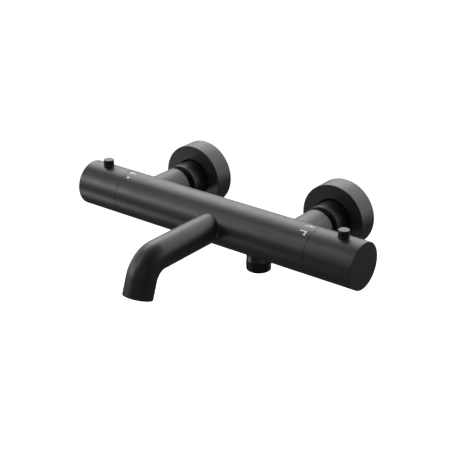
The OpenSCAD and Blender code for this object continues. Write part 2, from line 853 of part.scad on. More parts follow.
// Threaded ring of the recessed aerator, with slots for its key
module aerator_housing() color(coat) front(spout_x) spout_end_frame() difference() {
    top = spout_tip - aerator_recess;
    rod(spout_bore_r - fixed_fit, top - aerator_l, top);
    rod(spout_bore_r - aerator_wall, top - aerator_l - past, top + past);
    for (i = [0 : 11]) rotate([0, 0, i * 30]) translate([spout_bore_r, 0, 0])
        rod(key_slot_r, top - key_slot_depth, top + past);
}

// Honeycomb outlet and its mixing stage
module aerator_insert() color(grey_plastic) front(spout_x) spout_end_frame() difference() {
    top = spout_tip - aerator_recess - insert_inset;
    insert_r = spout_bore_r - aerator_wall - fixed_fit;
    rod(insert_r, top - 2 * cell_depth, top);
    for (ring = [1 : 4], hole = [0 : 6 * ring - 1]) rotate([0, 0, hole * 60 / ring])
        translate([ring * cell_pitch, 0, 0]) rod(cell_r, top - cell_depth, top + past);
    rod(cell_r, top - cell_depth, top + past);
    rod(insert_r - aerator_wall, top - 2 * cell_depth - past, top - cell_depth + past);
}

// ---- Hose outlet ----

module hose_outlet() color(coat) under(outlet_x) difference() {
    union() {
        rod(outlet_stem_r, bore_r + free_gap, outlet_neck_l + eps);
        threaded_rod(g12_r, outlet_neck_l, outlet_l);
    }
    rod(outlet_r + fixed_fit, bore_r, outlet_l + past);
}
module outlet_check_frame() {
    under(outlet_x) translate([0, 0, bore_r + free_gap]) children();
}
module outlet_check_housing() color(plastic) outlet_check_frame() check_shell(outlet_r, outlet_check_l);
module outlet_check_poppet() color(grey_plastic) outlet_check_frame() check_plug(outlet_r, outlet_check_l);
module outlet_check_spring() color(steel) outlet_check_frame() check_coil(outlet_check_l);

// ---- Printed marks, as thin skins on the tube ----

// Children are flat shapes: +X runs to the right, +Y up the bar's front
module printed(x, turn) {
    translate([x, -bar_reach, bar_z]) intersection() {
        rotate([turn, 0, 0]) linear_extrude(bar_r + past) children();
        rotate([0, 90, 0]) pipe(bar_r + print_t, bar_r, -print_half, print_half);
    }
}

// A dot that the knob's mark points to, and a small thermometer
module temperature_marks() color(print) {
    printed(temperature_mark_at, mark_turn) circle(r = 1.2);
    printed(temperature_mark_at, 2) {
        translate([-2, 0]) circle(r = 1.3);
        translate([-2, -0.45]) square([5, 0.9]);
    }
}

// A bent spout and a hand shower, one for each way that the knob turns
module flow_marks() color(print) {
    printed(flow_mark_at, mark_turn + 3) {
        translate([-4, 0.9]) square([6.6, 1.1]);
        translate([1, -2]) square([1.6, 3]);
        translate([0.6, -2.6]) square([2.4, 0.9]);
    }
    printed(flow_mark_at, 0) rotate(12) {
        translate([-4, -0.4]) square([5, 0.8]);
        translate([0.8, -1.3]) square([1.2, 2.6]);
        for (drop = [-1 : 1]) translate([2.5, drop - 0.2]) square([1.6, 0.4]);
    }
}

mixer_body();
water_core();
hot_tail_piece();
cold_tail_piece();
hot_union_nut();
cold_union_nut();
inlet_filter_washers();
hot_s_union();
cold_s_union();
hot_rosette();
cold_rosette();
rosette_gaskets();
hot_check_housing();
cold_check_housing();
hot_check_poppet();
cold_check_poppet();
hot_check_spring();
cold_check_spring();
thermo_housing();
thermo_o_rings();
thermo_filter_screens();
thermo_spindle();
thermo_drive_cup();
thermo_wax_element();
thermo_piston();
thermo_return_spring();
thermo_nose();
thermo_retaining_nut();
temperature_stop_ring();
temperature_knob();
temperature_knob_hub();
temperature_grub_screw();
temperature_button();
temperature_button_spring();
flow_housing();
flow_o_rings();
flow_base_seal();
flow_fixed_disc();
flow_rotor_disc();
flow_disc_carrier();
flow_spindle();
flow_retaining_nut();
flow_stop_ring();
flow_knob();
flow_knob_hub();
flow_grub_screw();
flow_button();
flow_button_spring();
spout_tube();
spout_nipple();
spout_o_rings();
spout_set_screw();
aerator_housing();
aerator_insert();
hose_outlet();
outlet_check_housing();
outlet_check_poppet();
outlet_check_spring();
temperature_marks();
flow_marks();
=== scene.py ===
"""Looks of a wall mounted thermostatic bath and shower mixer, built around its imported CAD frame.

Everything is in metres in the frame of the CAD model: +X along the bar, +Y into the wall, +Z up.
"""

import json
import math

import bmesh
import bpy
import numpy as np
from mathutils import Matrix, Vector


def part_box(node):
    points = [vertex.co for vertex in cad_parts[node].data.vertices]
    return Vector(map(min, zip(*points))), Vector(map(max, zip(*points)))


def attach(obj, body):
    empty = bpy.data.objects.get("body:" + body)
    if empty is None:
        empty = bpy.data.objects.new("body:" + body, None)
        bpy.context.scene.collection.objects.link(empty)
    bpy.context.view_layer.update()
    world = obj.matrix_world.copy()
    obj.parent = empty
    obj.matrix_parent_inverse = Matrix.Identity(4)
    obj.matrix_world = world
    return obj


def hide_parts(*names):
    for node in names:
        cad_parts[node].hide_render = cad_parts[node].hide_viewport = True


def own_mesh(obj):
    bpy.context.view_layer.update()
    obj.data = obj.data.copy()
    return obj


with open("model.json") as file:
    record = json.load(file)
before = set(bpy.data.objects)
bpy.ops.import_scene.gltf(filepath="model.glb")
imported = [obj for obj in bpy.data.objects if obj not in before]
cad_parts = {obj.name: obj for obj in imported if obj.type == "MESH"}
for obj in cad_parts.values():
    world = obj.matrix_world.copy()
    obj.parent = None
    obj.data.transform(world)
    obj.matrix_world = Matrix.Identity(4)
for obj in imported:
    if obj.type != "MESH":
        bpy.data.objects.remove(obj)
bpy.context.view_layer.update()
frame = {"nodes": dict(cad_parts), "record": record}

# ---------------------------------------------------------------- sizes

# From the frame where a box gives them, otherwise as in the CAD model

MM = 0.001
X, Y, Z = 0, 1, 2


def span(node, axis):
    """Lowest and highest place of a CAD node along one axis."""
    low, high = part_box(node)
    return low[axis], high[axis]


def middle(node, axis):
    """Middle of a CAD node along one axis."""
    return sum(span(node, axis)) / 2


def radius(node, axis):
    """Half of a CAD node's width along one axis."""
    low, high = span(node, axis)
    return (high - low) / 2


FIXED_FIT = 0.05 * MM
RUN_FIT = 0.08 * MM
EDGE = 0.4 * MM
SEAM_EDGE = 0.08 * MM

BAR_Y = middle("temperature_knob", Y)
BAR_Z = middle("temperature_knob", Z)
BAR_R = radius("temperature_knob", Z)
BAR_BORE_R = radius("water_core", Z) + FIXED_FIT
LEFT_SEAM, RIGHT_SEAM = span("mixer_body", X)

KNOB_BORE_R = radius("flow_knob_hub", Y) + FIXED_FIT
KNOB_L = 2 * radius("flow_knob", X)
KNOB_GAP = span("flow_knob", X)[0] - RIGHT_SEAM
KNOB_END_WALL = 4 * MM
KNOB_FLOOR = KNOB_GAP + KNOB_L - KNOB_END_WALL
BUTTON_AT = middle("flow_button", X) - RIGHT_SEAM
BUTTON_TOP = span("flow_button", Z)[1] - BAR_Z
BUTTON_FOOT = span("flow_button", Z)[0] - BAR_Z
BUTTON_FLANGE_R = radius("flow_button", X)
BUTTON_STEP = 0.9 * MM
BUTTON_R = BUTTON_FLANGE_R - BUTTON_STEP
BUTTON_STEM_R = 1.8 * MM
BUTTON_FLANGE_T = 1 * MM
BUTTON_FLANGE_GAP = 0.1 * MM
BUTTON_FLANGE_TOP = math.sqrt(KNOB_BORE_R ** 2 - BUTTON_FLANGE_R ** 2) - BUTTON_FLANGE_GAP
BUTTON_FLUTES = 16
BUTTON_FLUTE_DEPTH = 0.45 * MM
GRUB_AT = middle("flow_grub_screw", X) - RIGHT_SEAM
GRUB_R = radius("flow_grub_screw", X)
GRUB_GAP = 0.4 * MM

ARM_R = 15.35 * MM
ARM_FILLET = 2 * MM
ARM_BORE_R = 7 * MM
ARM_SOCKET_R = 10.53 * MM
ARM_SOCKET_DEPTH = 12 * MM
ARM_REACH = span("mixer_body", Y)[1] - BAR_Y
HOT_X = middle("hot_union_nut", X)
COLD_X = middle("cold_union_nut", X)

NUT_R = radius("hot_union_nut", X)
NUT_NEAR, NUT_FAR = (-y for y in reversed(span("hot_union_nut", Y)))
NUT_LIP = 4 * MM
NUT_BORE_R = 13.27 * MM
NUT_NECK_R = 10.08 * MM
ROSETTE_R = radius("hot_rosette", X)
ROSETTE_T = -span("hot_rosette", Y)[0]
ROSETTE_WALL = 2 * MM
ROSETTE_HOLE_R = 17.3 * MM
ROSETTE_WEB = (8 * MM, 12 * MM)

UNION_MID_R = 12 * MM
UNION_STUB_R = 13.17 * MM
UNION_BORE_R = 7 * MM
UNION_STUB_END = -span("hot_s_union", Y)[0]
UNION_THREAD_END = span("hot_s_union", Y)[1]
THREAD_R = radius("hose_outlet", X)
THREAD_PITCH = 1.814 * MM
THREAD_DEPTH = 1.16 * MM
THREAD_CREST, THREAD_FLANK = 0.09, 0.32
THREAD_LEAD_SLOPE = 1.6

SPOUT_X = middle("spout_tube", X)
SPOUT_R = radius("spout_tube", X)
SPOUT_SEAT = BAR_Y - span("spout_tube", Y)[1]
SPOUT_WALL = 2.2 * MM
SPOUT_BORE_R = SPOUT_R - SPOUT_WALL
SPOUT_ROOT_R = radius("spout_nipple", X) + FIXED_FIT
SPOUT_ROOT_END = 34 * MM
SPOUT_FILLET = 1.3 * MM
SPOUT_STRAIGHT = 81 * MM
SPOUT_BEND_R = 20.3 * MM
SPOUT_BEND = math.radians(70.6)
SPOUT_TIP = 14.9 * MM
SET_SCREW_AT = BAR_Y - middle("spout_set_screw", Y)

OUTLET_X = middle("hose_outlet", X)
OUTLET_NECK_R = 10.2 * MM
OUTLET_NECK_END = 23.2 * MM
OUTLET_FILLET = 1.7 * MM
OUTLET_STEM_R = 8.5 * MM
OUTLET_BORE_R = 7.05 * MM
OUTLET_TOP = BAR_Z - span("hose_outlet", Z)[1]
OUTLET_END = BAR_Z - span("hose_outlet", Z)[0]

# ---------------------------------------------------------------- meshes

TURN_STEP = 3
AROUND = 360 // TURN_STEP
TURNS = np.arange(0, 360, TURN_STEP)
DISC_RINGS = (0.6, 0.25, 0.06)
FILLET_STEPS = (0.2, 0.4, 0.6, 0.8, 1)
HAIR = 0.01 * MM
WELD = 1e-6
SHARP = 35


class Skin:
    """Vertices and faces of one piece while it is made."""

    def __init__(self):
        self.points = []
        self.faces = []

    def ring(self, points):
        """Adds points and returns their numbers."""
        first = len(self.points)
        self.points.extend(tuple(p) for p in points)
        return list(range(first, len(self.points)))

    def bridge(self, a, b):
        """Joins two closed rings with the same number of points."""
        for i, start in enumerate(a):
            j = (i + 1) % len(a)
            self.faces.append((start, a[j], b[j], b[i]))

    def grow(self, last, points):
        """Adds a closed ring, joined to the last one, and returns it."""
        now = self.ring(points)
        self.bridge(last, now)
        return now

    def zip(self, a, angles_a, b, angles_b):
        """Joins two closed rings with different numbers of points, whose angles both grow."""
        a, angles_a = from_lowest(a, angles_a)
        b, angles_b = from_lowest(b, angles_b)
        i = j = 0
        while i < len(a) or j < len(b):
            next_a = angles_a[i + 1] if i < len(a) else math.inf
            next_b = angles_b[j + 1] if j < len(b) else math.inf
            here_a, here_b = a[i % len(a)], b[j % len(b)]
            if next_a <= next_b:
                i += 1
                self.faces.append((here_a, a[i % len(a)], here_b))
            else:
                j += 1
                self.faces.append((here_a, b[j % len(b)], here_b))

    def close(self, ring, centre):
        """Closes a ring with flat rings that shrink to a point."""
        centre = np.array(centre)
        edge = np.array([self.points[i] for i in ring])
        last = ring
        for share in DISC_RINGS:
            last = self.grow(last, centre + (edge - centre) * share)
        tip = self.ring([centre])[0]
        for i, start in enumerate(last):
            self.faces.append((start, last[(i + 1) % len(last)], tip))

    def piece(self, name, body, slot, stands_for, sharp=SHARP):
        """Makes the object: outward faces, smooth but for edges of more than sharp degrees."""
        mesh = bpy.data.meshes.new(name)
        mesh.from_pydata(self.points, [], self.faces)
        work = bmesh.new()
        work.from_mesh(mesh)
        bmesh.ops.remove_doubles(work, verts=work.verts, dist=WELD)
        bmesh.ops.recalc_face_normals(work, faces=work.faces)
        work.to_mesh(mesh)
        work.free()
        mesh.shade_smooth()
        mesh.set_sharp_from_angle(angle=math.radians(sharp))
        made = bpy.data.objects.new(name, mesh)
        bpy.context.scene.collection.objects.link(made)
        shading = made.modifiers.new("flat_faces_keep_their_normals", "WEIGHTED_NORMAL")
        shading.keep_sharp = True
        mesh.materials.append(FINISHES[slot])
        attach(made, body)
        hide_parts(stands_for)
        return made


def from_lowest(ring, angles):
    """Starts a ring at its lowest angle and repeats that angle a turn later at the end."""
    angles = np.mod(angles, 2 * math.pi)
    first = int(np.argmin(angles))
    turned = np.roll(angles, -first)
    return ring[first:] + ring[:first], list(turned) + [turned[0] + 2 * math.pi]


class Tube:
    """A round axis. turn is in degrees from top, about the axis."""

    def __init__(self, origin, along, top):
        self.origin = np.array(origin, float)
        self.along = np.array(along, float)
        self.top = np.array(top, float)
        self.over = np.cross(self.along, self.top)

    def at(self, r, s, turn):
        """Points at a radius, a place along the axis and a turn about it."""
        angle = np.radians(turn)
        r, s, angle = np.broadcast_arrays(r, s, angle)
        return (self.origin + np.outer(s, self.along)
                + np.outer(r * np.cos(angle), self.top) + np.outer(r * np.sin(angle), self.over))


class Window:
    """Rectangle left open in a tube's skin for a round branch or hole."""

    def __init__(self, tube, s, turn, half_s, half_turn):
        angle = math.radians(turn)
        self.tube, self.s, self.turn = tube, s, turn
        self.half_s, self.half_turn = half_s, half_turn
        self.out = tube.top * math.cos(angle) + tube.over * math.sin(angle)
        self.side = tube.over * math.cos(angle) - tube.top * math.sin(angle)
        self.base = tube.origin + tube.along * s

    def holds(self, s, turn):
        """Whether a place on the tube lies inside the window."""
        off = (turn - self.turn + 180) % 360 - 180
        return abs(s - self.s) < self.half_s and abs(off) < self.half_turn

    def place(self, reach, phi, height):
        """Points at a distance from the branch's axis, an angle about it and a height along it."""
        reach, phi, height = np.broadcast_arrays(reach, phi, height)
        return (self.base + np.outer(reach * np.cos(phi), self.tube.along)
                + np.outer(reach * np.sin(phi), self.side) + np.outer(height, self.out))


def stations(low, high, fixed, step):
    """Places from low to high that include the fixed ones and lie at most a step apart."""
    marks = sorted({low, high, *fixed})
    made = []
    for a, b in zip(marks, marks[1:]):
        count = max(1, math.ceil((b - a) / step - 1e-6))
        made.extend(a + (b - a) * i / count for i in range(count))
    return made + [high]


def tube_skin(skin, tube, r, low, high, windows, step=4 * MM):
    """Skin of a tube between two places, open at its windows.

    Returns its two end rings and, for each window, the ring of the window's edge with the
    places and turns of its points.
    """
    places = stations(low, high, [w.s + k * w.half_s for w in windows for k in (-1, 1)], step)
    grid = [skin.ring(tube.at(r, s, TURNS)) for s in places]
    for i in range(len(places) - 1):
        mid = (places[i] + places[i + 1]) / 2
        for j in range(AROUND):
            if not any(w.holds(mid, (j + 0.5) * TURN_STEP) for w in windows):
                k = (j + 1) % AROUND
                skin.faces.append((grid[i][j], grid[i][k], grid[i + 1][k], grid[i + 1][j]))
    edges = []
    for w in windows:
        columns = [i for i, s in enumerate(places) if abs(s - w.s) < w.half_s + 1e-9]
        first = round((w.turn - w.half_turn) / TURN_STEP)
        last = round((w.turn + w.half_turn) / TURN_STEP)
        path = [(i, first) for i in columns[:-1]]
        path += [(columns[-1], j) for j in range(first, last)]
        path += [(i, last) for i in columns[:0:-1]]
        path += [(columns[0], j) for j in range(last, first, -1)]
        edges.append(([grid[i][j % AROUND] for i, j in path],
                      np.array([places[i] for i, j in path]),
                      np.array([j * TURN_STEP for i, j in path], float)))
    return grid[0], grid[-1], edges


def meet(skin, r, window, edge, reach, fillet, sign, rows=5):
    """Joins a window's edge to a round branch or hole through a rolling ball fillet.

    sign is 1 for a branch that stands out and -1 for a hole. Returns the last ring and its angles.
    """
    last, places, turns = edge
    phi = np.arctan2((turns - window.turn) / window.half_turn, (places - window.s) / window.half_s)
    ball = r + sign * fillet
    wide = reach + fillet
    foot_s = window.s + wide * np.cos(phi)
    foot_turn = window.turn + np.degrees(np.arcsin(wide * np.sin(phi) / ball))
    for row in range(1, rows + 1):
        t = row / rows
        last = skin.grow(last, window.tube.at(
            r, places + (foot_s - places) * t, turns + (foot_turn - turns) * t))
    if fillet == 0:
        return last, phi
    centre = window.place(wide, phi, np.sqrt(ball ** 2 - (wide * np.sin(phi)) ** 2))
    start = np.array([skin.points[i] for i in last]) - centre
    end = window.place(-fillet, phi, 0) - window.base
    sweep = np.arccos(np.clip((start * end).sum(1) / fillet ** 2, -1, 1))[:, None]
    for t in FILLET_STEPS:
        arm = (start * np.sin((1 - t) * sweep) + end * np.sin(t * sweep)) / np.sin(sweep)
        last = skin.grow(last, centre + arm)
    return last, phi


def branch(skin, window, last, phi, outline):
    """Continues a branch or a hole through (radius, height) rings."""
    for r, h in outline:
        last = skin.grow(last, window.place(r, phi, h))
    return last


def arc(corner, before, after, rounding, steps=4):
    """Points that round one corner of an outline."""
    corner, before, after = (np.array(p, float) for p in (corner, before, after))
    back = (before - corner) / np.linalg.norm(before - corner)
    ahead = (after - corner) / np.linalg.norm(after - corner)
    half = math.acos(float(np.clip(back @ ahead, -1, 1))) / 2
    centre = corner + (back + ahead) / np.linalg.norm(back + ahead) * rounding / math.sin(half)
    reach = rounding / math.tan(half)
    start, end = corner + back * reach - centre, corner + ahead * reach - centre
    sweep = math.pi - 2 * half
    return [tuple(centre + (start * math.sin((1 - k / steps) * sweep)
                            + end * math.sin(k / steps * sweep)) / math.sin(sweep))
            for k in range(steps + 1)]


def rounded(corners, closed):
    """Outline from (radius, height, rounding) corners."""
    made = []
    for i, (r, h, rounding) in enumerate(corners):
        if rounding > 0 and (closed or 0 < i < len(corners) - 1):
            before = corners[(i - 1) % len(corners)][:2]
            after = corners[(i + 1) % len(corners)][:2]
            made.extend(arc((r, h), before, after, rounding))
        else:
            made.append((r, h))
    return made


def cut_up(outline, step, closed):
    """The outline with its long stretches cut into steps."""
    made = []
    ends = outline[1:] + outline[:1] if closed else outline[1:]
    for a, b in zip(outline, ends):
        a, b = np.array(a), np.array(b)
        count = max(1, math.ceil(float(np.linalg.norm(b - a)) / step))
        made.extend(tuple(a + (b - a) * k / count) for k in range(count))
    return made if closed else made + [tuple(outline[-1])]


def lathe(skin, tube, outline, shape=None, steps=AROUND, bend=None):
    """Rings of an outline of (radius, place) points about a tube's axis.

    shape(turns, r, s) may change a ring's radii, and bend(s) may give a ring another tube.
    """
    turns = np.arange(steps) * 360 / steps
    rings = []
    for r, s in outline:
        radii = r if shape is None else shape(turns, r, s)
        if bend is None:
            rings.append(skin.ring(tube.at(radii, s, turns)))
        else:
            rings.append(skin.ring(bend(s).at(radii, 0, turns)))
    for a, b in zip(rings, rings[1:]):
        skin.bridge(a, b)
    return rings[0], rings[-1]


def closed_lathe(skin, tube, outline, **options):
    """Ring shaped solid from a closed outline."""
    first, last = lathe(skin, tube, outline, **options)
    skin.bridge(last, first)


def solid_lathe(skin, tube, outline, **options):
    """Solid from an outline whose two ends lie on the axis."""
    first, last = lathe(skin, tube, outline[1:-1], **options)
    skin.close(first, tube.at(0, outline[0][1], 0)[0])
    skin.close(last, tube.at(0, outline[-1][1], 0)[0])


def thread(turns, r, s, low, high, floor_r):
    """Radii of a helical pipe thread between two places, with a lead-in at both ends.

    Rings that are narrower than floor_r stay round.
    """
    if r < floor_r:
        return np.full(len(turns), r)
    phase = np.mod(s / THREAD_PITCH - turns / 360, 1)
    flank = np.clip((np.abs(phase - 0.5) - THREAD_CREST) / THREAD_FLANK, 0, 1)
    radii = r - THREAD_DEPTH * (1 - flank)
    lead = min(s - low, high - s)
    return np.minimum(radii, r - THREAD_DEPTH + THREAD_LEAD_SLOPE * max(lead, 0))


# ---------------------------------------------------------------- finishes


class Nodes:
    """Short way to build one material's node tree."""

    def __init__(self, name):
        self.material = bpy.data.materials.new(name)
        self.material.use_nodes = True
        self.tree = self.material.node_tree
        self.shader = self.tree.nodes["Principled BSDF"]
        self.where = self.tree.nodes.new("ShaderNodeTexCoord").outputs["Object"]

    def noise(self, scale, detail=3.0, roughness=0.5):
        """Noise with about this many features per metre."""
        node = self.tree.nodes.new("ShaderNodeTexNoise")
        node.inputs["Scale"].default_value = scale
        node.inputs["Detail"].default_value = detail
        node.inputs["Roughness"].default_value = roughness
        self.tree.links.new(self.where, node.inputs["Vector"])
        return node.outputs["Fac"]

    def stretched(self, scale, stretch):
        """Noise drawn out along one axis, as left by turning or brushing."""
        mapping = self.tree.nodes.new("ShaderNodeMapping")
        mapping.inputs["Scale"].default_value = stretch
        self.tree.links.new(self.where, mapping.inputs["Vector"])
        node = self.tree.nodes.new("ShaderNodeTexNoise")
        node.inputs["Scale"].default_value = scale
        self.tree.links.new(mapping.outputs["Vector"], node.inputs["Vector"])
        return node.outputs["Fac"]

    def edges(self):
        """How sharply convex the surface is, from 0 to 1."""
        geometry = self.tree.nodes.new("ShaderNodeNewGeometry")
        return self.ranged(geometry.outputs["Pointiness"], 0, 1, (0.52, 0.62))

    def ranged(self, value, low, high, source=(0.25, 0.75)):
        """Maps a value to the range from low to high."""
        node = self.tree.nodes.new("ShaderNodeMapRange")
        node.inputs["From Min"].default_value, node.inputs["From Max"].default_value = source
        node.inputs["To Min"].default_value, node.inputs["To Max"].default_value = low, high
        self.tree.links.new(value, node.inputs["Value"])
        return node.outputs["Result"]

    def blend(self, amount, color_a, color_b):
        """Colour that goes from a to b as the amount goes from 0 to 1."""
        node = self.tree.nodes.new("ShaderNodeMix")
        node.data_type = "RGBA"
        self.tree.links.new(amount, node.inputs["Factor"])
        for socket, color in ((node.inputs[6], color_a), (node.inputs[7], color_b)):
            if isinstance(color, tuple):
                socket.default_value = (*color, 1)
            else:
                self.tree.links.new(color, socket)
        return node.outputs[2]

    def bump(self, height, depth, strength=1.0, under=None):
        """Relief of a given depth in metres, on top of another relief."""
        node = self.tree.nodes.new("ShaderNodeBump")
        node.inputs["Distance"].default_value = depth
        node.inputs["Strength"].default_value = strength
        self.tree.links.new(height, node.inputs["Height"])
        if under is not None:
            self.tree.links.new(under, node.inputs["Normal"])
        return node.outputs["Normal"]

    def finish(self, color, roughness, normal, metallic=0.0, specular=0.5, ior=1.5):
        """Plugs the parts into the shader."""
        for socket, value in (("Base Color", color), ("Roughness", roughness), ("Normal", normal)):
            self.tree.links.new(value, self.shader.inputs[socket])
        self.shader.inputs["Metallic"].default_value = metallic
        self.shader.inputs["Specular IOR Level"].default_value = specular
        self.shader.inputs["IOR"].default_value = ior
        return self.material


def powder_coat(name, dark, light, wear_and_highlight, rough_low, rough_high, grain_depth):
    """Matte powder coat: orange peel, fine grain, soft clouds, and convex edges lightened by rubbed
    wear and a painted edge highlight.
    """
    n = Nodes(name)
    clouds = n.blend(n.ranged(n.noise(55, 4), 0, 1), dark, light)
    # convex edges go towards a lighter colour: rubbed wear and a painted edge highlight
    color = n.blend(n.ranged(n.edges(), 0, 0.55), clouds, wear_and_highlight)
    roughness = n.ranged(n.noise(140, 5, 0.6), rough_low, rough_high)
    peel = n.bump(n.noise(620, 2), grain_depth * 3)
    normal = n.bump(n.noise(4200, 2), grain_depth, under=peel)
    return n.finish(color, roughness, normal)


def rubber():
    """Dull black rubber with a fine grain."""
    n = Nodes("rubber")
    clouds = n.ranged(n.noise(300), 0, 1)
    color = n.blend(clouds, (0.012, 0.012, 0.013), (0.026, 0.026, 0.027))
    return n.finish(color, n.ranged(n.noise(500), 0.72, 0.9), n.bump(n.noise(2600), 0.02 * MM))


def turned_metal(name, dark, light, stretch, rough_low, rough_high):
    """Metal with the fine lines that a lathe or a brush leaves."""
    n = Nodes(name)
    lines = n.stretched(900, stretch)
    clouds = n.blend(n.ranged(n.noise(90, 4), 0, 1), dark, light)
    roughness = n.ranged(lines, rough_low, rough_high)
    return n.finish(clouds, roughness, n.bump(lines, 0.008 * MM), metallic=1.0)


def moulded(name, dark, light, rough_low, rough_high, ior=1.46):
    """Moulded plastic with a faint spark eroded texture."""
    n = Nodes(name)
    color = n.blend(n.ranged(n.noise(120, 4), 0, 1), dark, light)
    grain = n.noise(2400, 3)
    roughness = n.ranged(grain, rough_low, rough_high)
    return n.finish(color, roughness, n.bump(grain, 0.012 * MM), ior=ior)


def ceramic():
    """Lapped white ceramic with a faint mottle."""
    n = Nodes("ceramic")
    clouds = n.ranged(n.noise(700, 5), 0, 1)
    color = n.blend(clouds, (0.83, 0.81, 0.77), (0.90, 0.89, 0.86))
    relief = n.bump(n.noise(5000), 0.002 * MM)
    return n.finish(color, n.ranged(n.noise(350), 0.12, 0.22), relief, ior=1.7)


def pad_print():
    """Thin white print with an uneven edge to its gloss."""
    n = Nodes("pad_print")
    clouds = n.ranged(n.noise(1500, 4), 0, 1)
    color = n.blend(clouds, (0.72, 0.72, 0.73), (0.86, 0.86, 0.86))
    return n.finish(color, n.ranged(n.noise(900), 0.5, 0.65), n.bump(n.noise(3800), 0.006 * MM))


FINISHES = {
    # the third colour of each coat is its lighter edge colour: rubbed wear and a painted edge
    # highlight
    "coat": powder_coat("powder_coat", (0.0125, 0.0125, 0.0135), (0.0165, 0.0165, 0.0175),
                        (0.036, 0.036, 0.038), 0.37, 0.45, 0.0022 * MM),
    "dark_tail": powder_coat("black_plating", (0.006, 0.006, 0.007), (0.009, 0.009, 0.010),
                             (0.02, 0.02, 0.021), 0.34, 0.46, 0.002 * MM),
    "rubber": rubber(),
    "brass": turned_metal("brass", (0.56, 0.40, 0.17), (0.72, 0.54, 0.27),
                          (1, 0.05, 1), 0.24, 0.42),
    "copper": turned_metal("copper", (0.60, 0.30, 0.18), (0.74, 0.43, 0.28),
                           (0.05, 1, 1), 0.22, 0.38),
    "steel": turned_metal("steel", (0.50, 0.51, 0.52), (0.64, 0.65, 0.66),
                          (0.05, 1, 1), 0.22, 0.40),
    "pale_plastic": moulded("pale_plastic", (0.74, 0.73, 0.69), (0.83, 0.82, 0.78), 0.42, 0.6),
    "grey_plastic": moulded("grey_plastic", (0.12, 0.13, 0.14), (0.17, 0.18, 0.19), 0.45, 0.62),
    "aerator_plastic": moulded("aerator_plastic", (0.03, 0.03, 0.032), (0.05, 0.05, 0.053),
                               0.4, 0.55),
    "ceramic": ceramic(),
    "print": pad_print(),
}


def cad_object(node):
    """Blender object of a CAD node."""
    found = frame["nodes"][node]
    return found if hasattr(found, "data") else bpy.data.objects[found]


def finish_cad_nodes():
    """Gives each CAD node the finish of its material slot."""
    for part in frame["record"]["subparts"]:
        materials = cad_object(part["node"]).data.materials
        materials.clear()
        materials.append(FINISHES[part["material_slot"]])


# ---------------------------------------------------------------- pieces

BAR = Tube((0, BAR_Y, BAR_Z), (1, 0, 0), (0, 0, 1))
FRONT, UNDER, BACK, UP = 90, 180, 270, 0


def mixer_body():
    """Hollow bar with its two inlet arms, the boss at the spout's root and the outlet's neck."""
    skin = Skin()
    socket = [(ARM_SOCKET_R, ARM_REACH), (ARM_SOCKET_R, ARM_REACH - ARM_SOCKET_DEPTH),
              (ARM_BORE_R, ARM_REACH - ARM_SOCKET_DEPTH)]
    branches = (
        # place, turn, half window, radius, fillet, height, bore's rings and radius, inner window
        (SPOUT_X, FRONT, (18 * MM, 60), SPOUT_R, SPOUT_FILLET, SPOUT_SEAT,
         [(SPOUT_ROOT_R, SPOUT_SEAT)], SPOUT_ROOT_R, (11 * MM, 45)),
        (HOT_X, BACK, (18.3 * MM, 63), ARM_R, ARM_FILLET, ARM_REACH,
         socket, ARM_BORE_R, (10 * MM, 36)),
        (COLD_X, BACK, (18.3 * MM, 63), ARM_R, ARM_FILLET, ARM_REACH,
         socket, ARM_BORE_R, (10 * MM, 36)),
        (OUTLET_X, UNDER, (12 * MM, 42), OUTLET_NECK_R, OUTLET_FILLET, OUTLET_NECK_END,
         [(OUTLET_STEM_R + FIXED_FIT, OUTLET_NECK_END)], OUTLET_STEM_R + FIXED_FIT, (11 * MM, 42)),
    )
    outer_windows = [Window(BAR, x, turn, *half) for x, turn, half, *_ in branches]
    inner_windows = [Window(BAR, x, turn, *half) for x, turn, *_, half in branches]
    left, right, outer_edges = tube_skin(
        skin, BAR, BAR_R, LEFT_SEAM + SEAM_EDGE, RIGHT_SEAM - SEAM_EDGE, outer_windows)
    in_left, in_right, inner_edges = tube_skin(
        skin, BAR, BAR_BORE_R, LEFT_SEAM + SEAM_EDGE, RIGHT_SEAM - SEAM_EDGE, inner_windows, 8 * MM)
    ends = ((left, in_left, LEFT_SEAM, -1), (right, in_right, RIGHT_SEAM, 1))
    for outer, inner, seam, out in ends:
        inside = seam - out * SEAM_EDGE
        rim = arc((BAR_R, seam), (BAR_R, inside), (BAR_BORE_R, seam), SEAM_EDGE)[1:]
        mouth = arc((BAR_BORE_R, seam), (BAR_R, seam), (BAR_BORE_R, inside), SEAM_EDGE)[:-1]
        last = outer
        for r, s in rim + mouth:
            last = skin.grow(last, BAR.at(r, s, TURNS))
        skin.bridge(last, inner)
    for b, outer, inner, edge, inner_edge in zip(
            branches, outer_windows, inner_windows, outer_edges, inner_edges):
        reach, fillet, height, bore, bore_r = b[3:8]
        last, phi = meet(skin, BAR_R, outer, edge, reach, fillet, 1)
        rim_edge = SEAM_EDGE / 2 if outer.turn == FRONT else EDGE
        rim = arc((reach, height), (reach, height - MM), (reach - MM, height), rim_edge)
        lip = [(bore[0][0] + HAIR, height)]
        last = branch(skin, outer, last, phi, rim + lip + bore)
        inner_last, inner_phi = meet(skin, BAR_BORE_R, inner, inner_edge, bore_r, 0, -1)
        skin.zip(last, phi, inner_last, inner_phi)
    skin.piece("body_shell", "mixer", "coat", "mixer_body")


